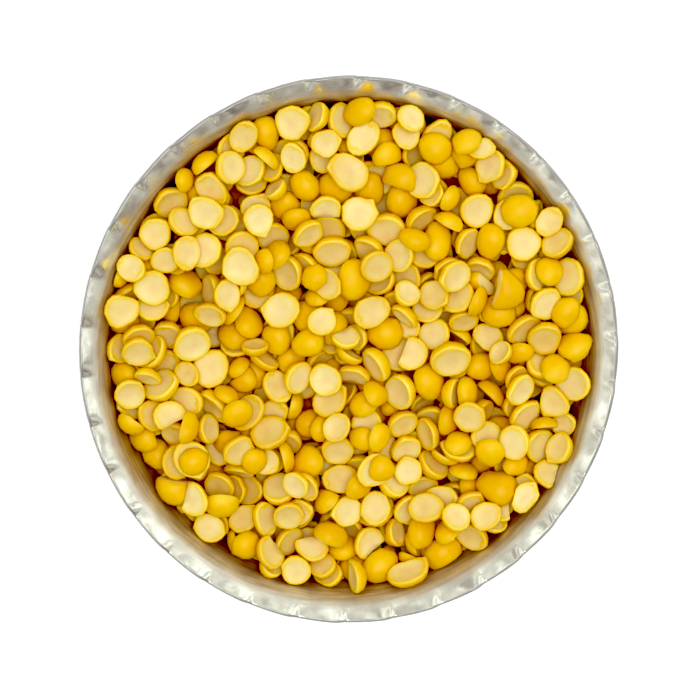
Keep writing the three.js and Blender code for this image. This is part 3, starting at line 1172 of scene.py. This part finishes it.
world = bpy.data.worlds.new("soft_room")
world.use_nodes = True
bpy.context.scene.world = world
tree = world.node_tree
direction = tree.nodes.new("ShaderNodeTexCoord").outputs["Generated"]
compass = tree.nodes.new("ShaderNodeTexGradient")
compass.gradient_type = "RADIAL"
tree.links.new(direction, compass.inputs["Vector"])
wall_levels = [((azimuth + 180) / 360, level) for azimuth, level in ROOM_BRIGHTNESS]
walls = ramp(tree, compass.outputs["Fac"], grey_stops(wall_levels))
print("walls change at", len(wall_levels), "places round the compass")

# %% Patchwork and ceiling of the room
PANEL_SCALE = 4.5
PANEL_DETAIL = 1
PANEL_LEVELS = ((0.38, 0.6), (0.48, 1.05), (0.52, 1.05), (0.62, 1.45))
CEILING_BRIGHTNESS = 0.62
HORIZON_TOP = 0.5
CEILING_START = 0.85

patchwork = ramp(tree, noise(tree, direction, PANEL_SCALE, PANEL_DETAIL), grey_stops(PANEL_LEVELS))
apart = tree.nodes.new("ShaderNodeSeparateXYZ")
tree.links.new(direction, apart.inputs["Vector"])
upwards = between(tree, apart.outputs["Z"], 0, 1, HORIZON_TOP, CEILING_START)
room = tree.nodes.new("ShaderNodeMix")
room.data_type = "RGBA"
room.inputs["B"].default_value = (CEILING_BRIGHTNESS, CEILING_BRIGHTNESS, CEILING_BRIGHTNESS, 1)
tree.links.new(upwards, room.inputs["Factor"])
tree.links.new(times(tree, walls, patchwork), room.inputs["A"])
tree.links.new(room.outputs["Result"], tree.nodes["Background"].inputs["Color"])
print("room:", len(tree.nodes), "nodes")

# %% Lamp overhead
LAMP_SIDE = 0.7
LAMP_DISTANCE = 1.0
LAMP_POWER = 5.3
LAMP_AZIMUTH = math.radians(70)
LAMP_ELEVATION = math.radians(84)

lip_middle = Vector((0, 0, rim_height))
lamp = bpy.data.lights.new("overhead", "AREA")
lamp.size = LAMP_SIDE
lamp.energy = LAMP_POWER
overhead = bpy.data.objects.new("overhead", lamp)
bpy.context.scene.collection.objects.link(overhead)
level_out = math.cos(LAMP_ELEVATION)
towards = Vector(
    (level_out * math.cos(LAMP_AZIMUTH), level_out * math.sin(LAMP_AZIMUTH), math.sin(LAMP_ELEVATION))
)
overhead.location = lip_middle + LAMP_DISTANCE * towards
overhead.rotation_euler = towards.to_track_quat("Z", "Y").to_euler()
print("lamp at, mm:", [round(value / MM) for value in overhead.location])

# %% [markdown]
# Tones and camera
#
# A camera sets its own black and white. The black level of each colour is raised here until the gaps
# between the dal are as deep and warm as in the photograph, and green is lifted a touch by its white
# level. The photograph looks almost straight down, from a little towards the top left, so the camera
# is placed by how far it leans each way.

# %% Black and white
BLACK_LEVEL = (0.035, 0.077, 0.075)
WHITE_LEVEL = (1, 0.975, 1)

view = bpy.context.scene.view_settings
view.view_transform = "Standard"
view.use_curve_mapping = True
view.curve_mapping.black_level = BLACK_LEVEL
view.curve_mapping.white_level = WHITE_LEVEL
view.curve_mapping.update()
print("view:", view.view_transform)

# %% Camera
FRAME_WIDTH = 128.6 * MM
CAMERA_DISTANCE = 400 * MM
CAMERA_LEAN_X = -0.06
CAMERA_LEAN_Y = 0.14
AIM = Vector((-0.15 * MM, 0.81 * MM, 0))
SENSOR = 36

camera_data = bpy.data.cameras.new("overhead_camera")
camera_data.sensor_width = SENSOR
camera_data.lens = SENSOR * CAMERA_DISTANCE / FRAME_WIDTH
camera = bpy.data.objects.new("overhead_camera", camera_data)
bpy.context.scene.collection.objects.link(camera)
away = Vector((CAMERA_LEAN_X, CAMERA_LEAN_Y, 1)).normalized()
to_right = Vector((0, 1, 0)).cross(away).normalized()
to_top = away.cross(to_right)
camera.matrix_world = Matrix.Translation(lip_middle + AIM + CAMERA_DISTANCE * away) @ Matrix(
    (to_right, to_top, away)
).transposed().to_4x4()
bpy.context.scene.camera = camera
print("camera at, mm:", [round(value / MM) for value in camera.location])
